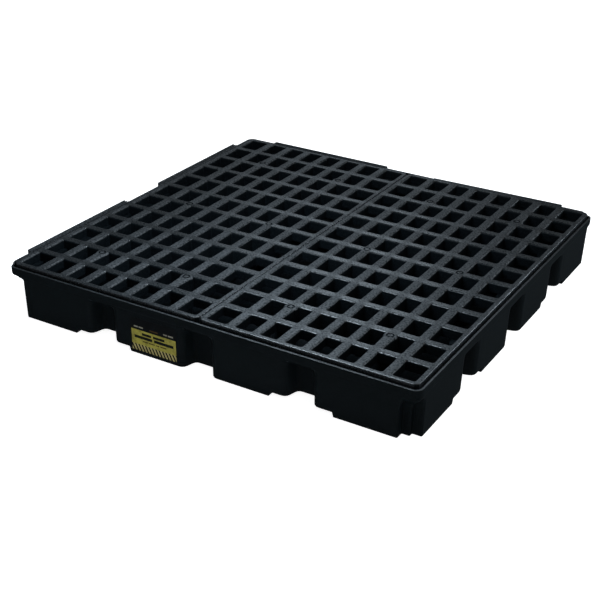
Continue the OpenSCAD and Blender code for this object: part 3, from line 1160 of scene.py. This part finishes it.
# painted light: lighter, glossier copy of the grate plastic for the grate's outer edge and wall
lit_rim_plastic = black_plastic("rim_polyethylene_painted_light", (0.009, 0.011, 0.0125), (0.017, 0.0195, 0.022),
                            (0.24, 0.32), 0.3, 0.8)
label_films = [film("label_black", (0.0026, 0.0034, 0.004), 0.3),
               film("label_yellow", (0.2, 0.172, 0.024), 0.45),
               film("label_cream", (0.24, 0.2, 0.075), 0.3),
               film("label_brown", (0.04, 0.022, 0.005), 0.3),
               film("label_dim", (0.14, 0.13, 0.1), 0.3)]

# ---- the object
make_tray([tray_plastic, lit_lip_plastic, shade_plastic])
make_tabs(tab_plastic)
for name, lo, hi in (("left_grate", LEFT_LO, LEFT_HI), ("right_grate", RIGHT_LO, RIGHT_HI)):
    make_grate(name, (lo.x + hi.x) / 2, [grate_plastic, shade_plastic, lit_rim_plastic])
make_label(label_films)

# ---- floor, light, camera
FLOOR_HALF = 20000
floor_bm = bmesh.new()
bmesh.ops.create_grid(floor_bm, x_segments=4, y_segments=4, size=FLOOR_HALF)
floor_mat, _, floor_bsdf, _ = node_material("studio_floor")
for socket, value in (("Base Color", (0.9, 0.9, 0.9, 1.0)), ("Roughness", 0.9),
                      ("Specular IOR Level", 0.1), ("Emission Color", (1.0, 1.0, 1.0, 1.0)),
                      ("Emission Strength", 0.95)):
    floor_bsdf.inputs[socket].default_value = value
floor_obj = new_object("studio_floor", floor_bm, [floor_mat])
floor_obj.location.z = -0.0005             # just under the feet
floor_obj.visible_glossy = False

scene = bpy.context.scene
scene.view_settings.view_transform = "Standard"
world = bpy.data.worlds.new("studio")
scene.world = world
world.use_nodes = True
background = world.node_tree.nodes["Background"]
background.inputs["Color"].default_value = (0.82, 0.92, 1.0, 1.0)
background.inputs["Strength"].default_value = 0.13


def area_light(name, place, aim, size, power):
    """A bluish softbox at place, in metres, turned towards aim."""
    light = bpy.data.lights.new(name, "AREA")
    light.shape = "RECTANGLE"
    light.size, light.size_y = size
    light.energy = power
    light.color = (0.74, 0.88, 1.0)
    obj = bpy.data.objects.new(name, light)
    obj.location = place
    obj.rotation_euler = (Vector(aim) - Vector(place)).to_track_quat("-Z", "Y").to_euler()
    obj.visible_camera = False
    scene.collection.objects.link(obj)


area_light("softbox_behind", (-1.11, 2.25, 1.72), (0.3, -0.3, 0.16), (1.1, 0.7), 9.5)
area_light("softbox_rear_right", (2.15, 2.13, 0.7), (0.64, 0.2, 0.16), (0.6, 0.3), 17.0)
area_light("softbox_right", (2.2, 0.7, 0.42), (0.66, 0.25, 0.1), (1.6, 0.3), 7.0)
area_light("softbox_above", (0.02, -0.54, 0.9), (0.02, -0.54, 0.16), (0.7, 0.22), 17.5)

overhead = bpy.data.lights.new("overhead", "SUN")
overhead.energy = 0.93
overhead.angle = math.radians(80)
overhead_obj = bpy.data.objects.new("overhead", overhead)
overhead_obj.rotation_euler = (math.radians(-8), math.radians(35), 0)
scene.collection.objects.link(overhead_obj)


def aim_camera():
    """Camera at the viewing angle of the photograph, as turn, height, distance and roll."""
    target = Vector((DECK_X + 212.4, DECK_Y - 423.9, DECK_Z)) * MM
    turn, rise, away, roll = (math.radians(29.727), math.radians(27.373), 3.285, math.radians(1.27))
    back = Vector((math.sin(turn) * math.cos(rise), -math.cos(turn) * math.cos(rise),
                   math.sin(rise)))
    right = Vector((0, 0, 1)).cross(back).normalized()
    up = back.cross(right)
    right, up = (math.cos(roll) * right + math.sin(roll) * up,
                 math.cos(roll) * up - math.sin(roll) * right)
    data = bpy.data.cameras.new("camera")
    data.lens = 70.84
    data.sensor_width = 36.0
    camera = bpy.data.objects.new("camera", data)
    rotation = Matrix((right, up, back)).transposed().to_4x4()
    camera.matrix_world = Matrix.Translation(target + back * away) @ rotation
    scene.collection.objects.link(camera)
    scene.camera = camera


aim_camera()
